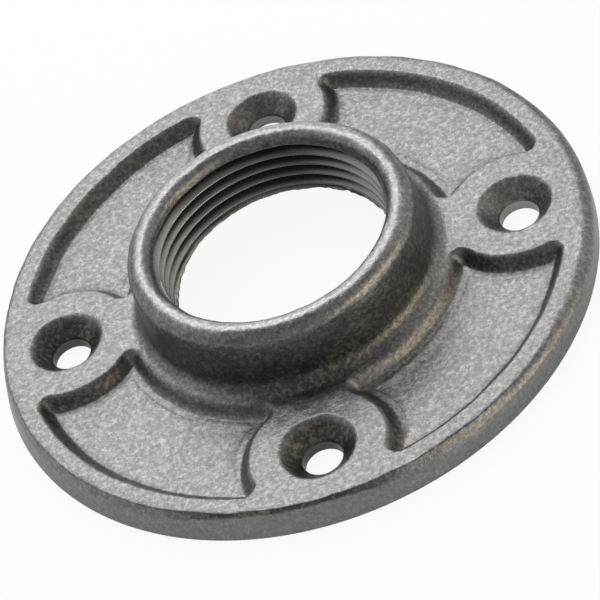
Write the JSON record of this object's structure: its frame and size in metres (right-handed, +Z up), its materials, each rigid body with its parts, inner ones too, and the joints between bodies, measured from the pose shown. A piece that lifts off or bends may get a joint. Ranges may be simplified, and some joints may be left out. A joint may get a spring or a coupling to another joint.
{
  "type": "floor flange",
  "caption": "Round cast iron floor flange with a raised threaded hub for a pipe, countersunk screw holes and sunken pockets in its plate.",
  "frame": {"origin": "centre of the underside, on the pipe axis", "axes": "+Z up along the pipe axis, out of the hub's mouth; +X through one screw hole"},
  "size_m": [0.102, 0.102, 0.017],
  "materials": {
    "cast_iron": "as-cast sand grain, dry, with a cut thread"
  },
  "bodies": {
    "root": {"flange": "cast_iron"}
  },
  "joints": []
}
